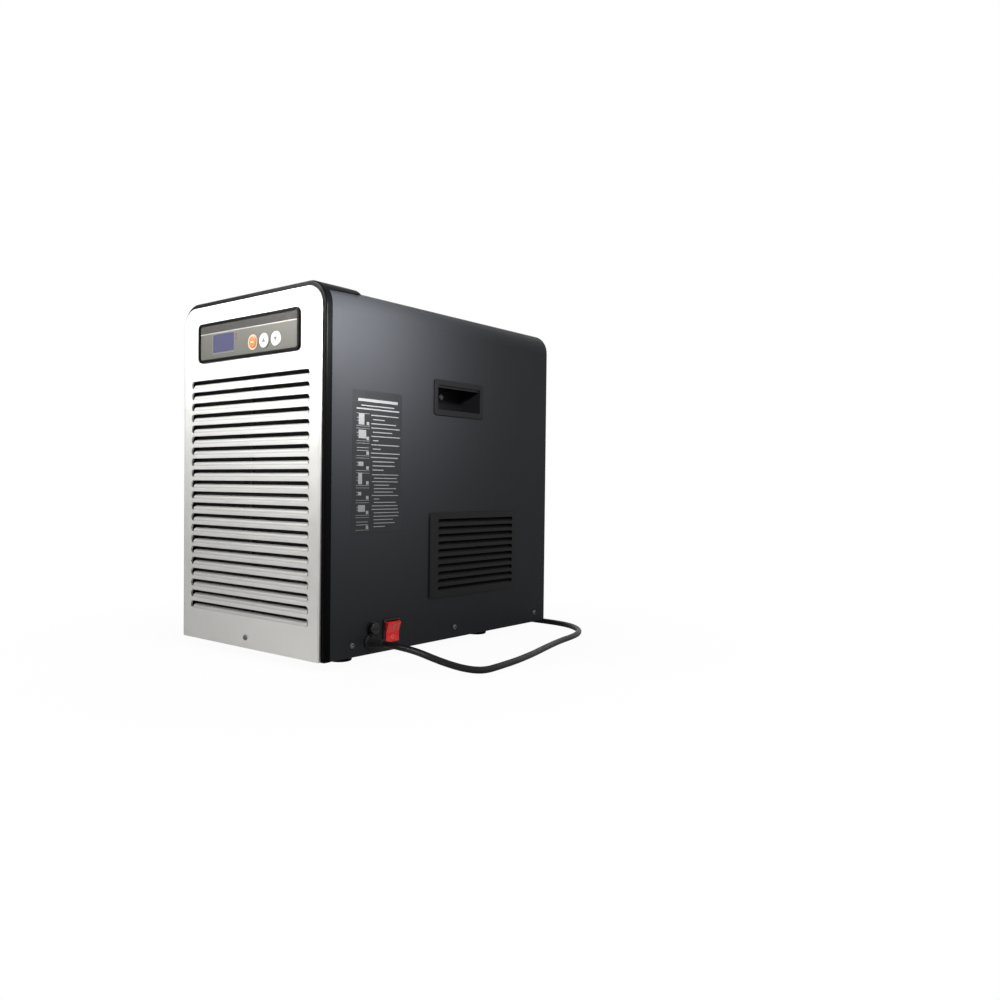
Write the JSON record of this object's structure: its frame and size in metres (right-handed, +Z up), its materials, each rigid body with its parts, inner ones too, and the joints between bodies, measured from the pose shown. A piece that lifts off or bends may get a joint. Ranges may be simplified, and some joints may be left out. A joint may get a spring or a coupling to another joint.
{
  "type": "aquarium chiller",
  "caption": "Upright aquarium water chiller with a louvred front, a control panel, hose connectors on top, side grilles, handle recesses, a rocker switch and a mains cord",
  "frame": {"origin": "on the floor, under the middle of the cabinet", "axes": "+Z up; the louvred front faces -Y; +X towards the side with the switch and the cord"},
  "size_m": [0.4309, 0.5641, 0.495],
  "materials": {
    "cover": "satin powder coat",
    "tray": "satin powder coat",
    "frame_black": "semi-gloss",
    "panel_silver": "fine metallic",
    "filter_black": "matte",
    "filter_foam": "open foam",
    "fascia": "fine brushed",
    "display": "tinted window",
    "button_amber": "gloss",
    "ring_peach": "satin",
    "button_white": "gloss",
    "board": "solder mask",
    "trim_black": "fine grain",
    "rocker_red": "gloss",
    "fuse_black": "satin",
    "fuse_glass": "plated ends",
    "cord_rubber": "satin",
    "plug_black": "fine grain",
    "pin_brass": "plated",
    "connector_black": "gloss",
    "seal_rubber": "matte",
    "pipe_plastic": "satin",
    "vessel_plastic": "satin",
    "titanium": "drawn tube",
    "bracket_steel": "zinc plated",
    "probe_steel": "turned",
    "fin_aluminium": "thin sheet",
    "copper": "drawn copper",
    "fan_plastic": "satin",
    "motor_metal": "painted",
    "compressor_black": "gloss enamel",
    "capacitor_case": "drawn can",
    "screw_steel": "nickel plated"
  },
  "bodies": {
    "chiller": {"base_tray": "tray", "cabinet_cover": "cover", "side_panels": "cover", "rear_panel": "cover", "front_frame": "frame_black", "front_panel": "panel_silver", "filter_frame": "filter_black", "dust_filter": "filter_foam", "control_housing": "frame_black", "control_fascia": "fascia", "display_window": "display", "set_button_ring": "ring_peach", "control_board": "board", "handle_cup_left": "trim_black", "handle_cup_right": "trim_black", "side_grille_left": "trim_black", "side_grille_right": "trim_black", "switch_frame": "fuse_black", "fuse_holder": "fuse_black", "cord_gland": "cord_rubber", "mains_cord": "cord_rubber", "cord_coil": "cord_rubber", "mains_plug": "plug_black", "plug_pins": "pin_brass", "inlet_connector": "connector_black", "outlet_connector": "connector_black", "connector_seals": "seal_rubber", "connector_lock_nuts": "connector_black", "water_pipes": "pipe_plastic", "heat_exchanger": "vessel_plastic", "exchanger_coil": "titanium", "vessel_saddles": "bracket_steel", "temperature_probe": "probe_steel", "condenser_fins": "fin_aluminium", "condenser_tube": "copper", "condenser_frame": "bracket_steel", "fan_shroud": "fan_plastic", "fan_motor": "motor_metal", "fan_bracket": "bracket_steel", "compressor": "compressor_black", "compressor_grommets": "seal_rubber", "compressor_bolts": "screw_steel", "terminal_cover": "fuse_black", "refrigerant_lines": "copper", "filter_drier": "copper", "capacitor": "capacitor_case", "feet": "seal_rubber", "foot_screws": "screw_steel", "cabinet_screws": "screw_steel", "panel_screw": "screw_steel"},
    "set_button": {"set_button": "button_amber"},
    "up_button": {"up_button": "button_white"},
    "down_button": {"down_button": "button_white"},
    "rocker": {"switch_rocker": "rocker_red"},
    "fuse_cap": {"fuse_cap": "fuse_black", "fuse_link": "fuse_glass"},
    "inlet_nut": {"inlet_union_nut": "connector_black"},
    "outlet_nut": {"outlet_union_nut": "connector_black"},
    "fan": {"fan_rotor": "fan_plastic", "fan_shaft": "probe_steel"}
  },
  "joints": [
    {"name": "set_button_press", "type": "slide", "parent": "chiller", "child": "set_button", "axis": [0, 1, 0], "range_m": [0, 0.0008], "stiffness_N_per_m": 900, "springref_m": -0.0008},
    {"name": "up_button_press", "type": "slide", "parent": "chiller", "child": "up_button", "axis": [0, 1, 0], "range_m": [0, 0.0008], "stiffness_N_per_m": 900, "springref_m": -0.0008},
    {"name": "down_button_press", "type": "slide", "parent": "chiller", "child": "down_button", "axis": [0, 1, 0], "range_m": [0, 0.0008], "stiffness_N_per_m": 900, "springref_m": -0.0008},
    {"name": "rocker_tilt", "type": "hinge", "parent": "chiller", "child": "rocker", "pos_m": [0.142, -0.109, 0.035], "axis": [0, 1, 0], "range_deg": [-20, 0]},
    {"name": "fuse_cap_turn", "type": "hinge", "parent": "chiller", "child": "fuse_cap", "pos_m": [0.145, -0.141, 0.042], "axis": [1, 0, 0], "range_deg": [0, 45]},
    {"name": "inlet_nut_turn", "type": "hinge", "parent": "chiller", "child": "inlet_nut", "pos_m": [-0.082, -0.025, 0.485], "axis": [0, 0, 1], "continuous": true},
    {"name": "outlet_nut_turn", "type": "hinge", "parent": "chiller", "child": "outlet_nut", "pos_m": [-0.082, 0.086, 0.485], "axis": [0, 0, 1], "continuous": true},
    {"name": "fan_spin", "type": "hinge", "parent": "chiller", "child": "fan", "pos_m": [-0.01, -0.119, 0.196], "axis": [0, 1, 0], "continuous": true}
  ]
}
